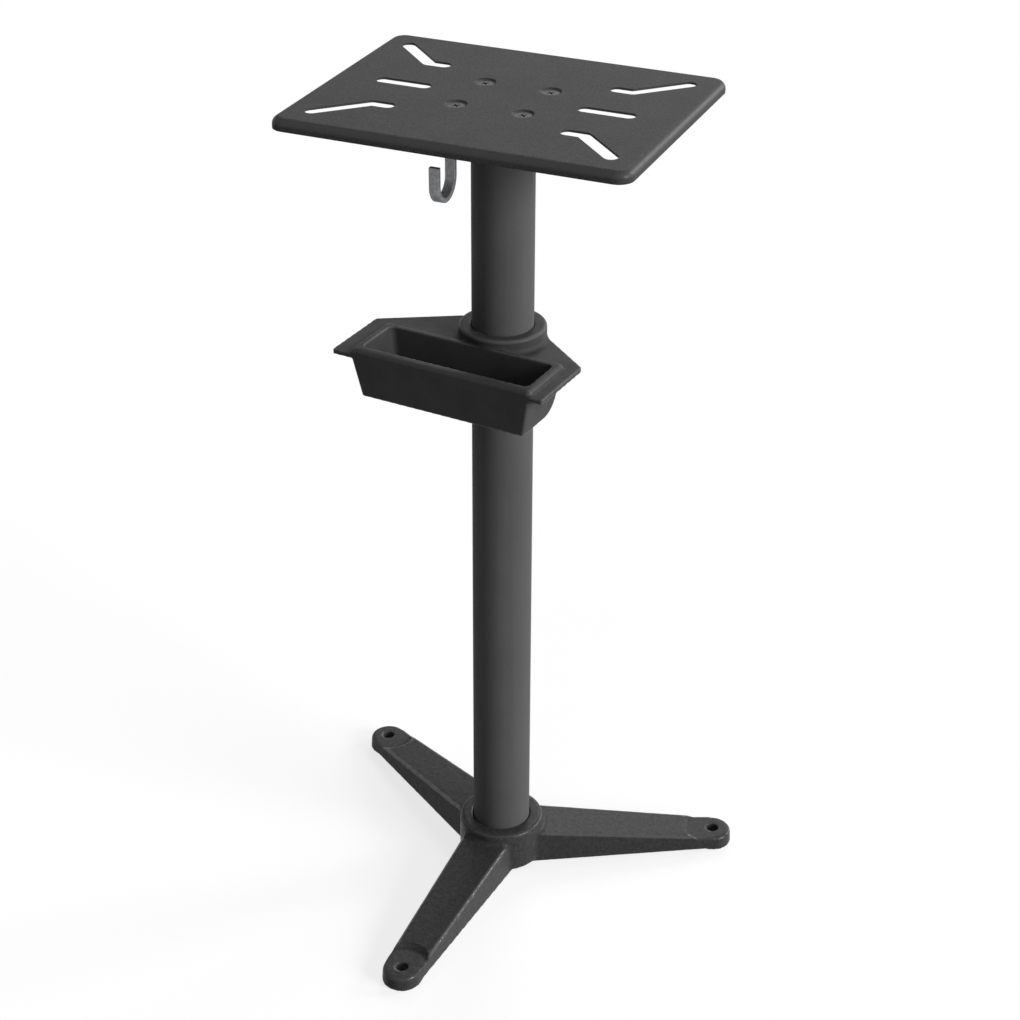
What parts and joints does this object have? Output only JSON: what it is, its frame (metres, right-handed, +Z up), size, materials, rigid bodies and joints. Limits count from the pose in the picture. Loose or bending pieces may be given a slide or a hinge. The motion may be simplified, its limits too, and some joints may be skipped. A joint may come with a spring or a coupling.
{
  "type": "bench grinder stand",
  "caption": "Pedestal stand: slotted steel top plate on a tube column with a cast tripod base, a swivelling tool tray and a lead hook.",
  "frame": {"origin": "on the column's axis, at floor level, which is the centre of the circle of the foot bolt holes", "axes": "+Z up along the column, +X along the long side of the top plate, -Y towards the front, where the tray and hook are"},
  "size_m": [0.4204, 0.3769, 0.813],
  "materials": {
    "cast_black": "black paint over a fine sand-cast skin",
    "column_black": "satin black paint on drawn steel",
    "plate_black": "satin black powder coat on pressed sheet",
    "tray_black": "matte moulded black",
    "zinc_grey": "dull grey zinc plate",
    "zinc_bright": "zinc plate",
    "black_oxide": "oiled black oxide"
  },
  "bodies": {
    "stand": {"base_casting": "cast_black", "base_set_screw": "black_oxide", "column_head_plate": "column_black", "column_tube": "column_black", "column_weld_bead": "column_black", "hook": "zinc_grey", "plate_bolt_1": "black_oxide", "plate_bolt_2": "black_oxide", "plate_bolt_3": "black_oxide", "plate_bolt_4": "black_oxide", "plate_lock_washer_1": "zinc_bright", "plate_lock_washer_2": "zinc_bright", "plate_lock_washer_3": "zinc_bright", "plate_lock_washer_4": "zinc_bright", "plate_nut_1": "zinc_bright", "plate_nut_2": "zinc_bright", "plate_nut_3": "zinc_bright", "plate_nut_4": "zinc_bright", "plate_washer_1": "zinc_bright", "plate_washer_2": "zinc_bright", "plate_washer_3": "zinc_bright", "plate_washer_4": "zinc_bright", "top_plate": "plate_black"},
    "tray_stop": {"stop_collar": "column_black", "stop_collar_screw": "black_oxide"},
    "tray": {"tray": "tray_black"}
  },
  "joints": [
    {"name": "tray_height", "type": "slide", "parent": "stand", "child": "tray_stop", "axis": [0, 0, 1], "range_m": [-0.495, 0.14]},
    {"name": "tray_swivel", "type": "hinge", "parent": "tray_stop", "child": "tray", "pos_m": [0, 0, 0.57], "axis": [0, 0, 1], "continuous": true}
  ]
}
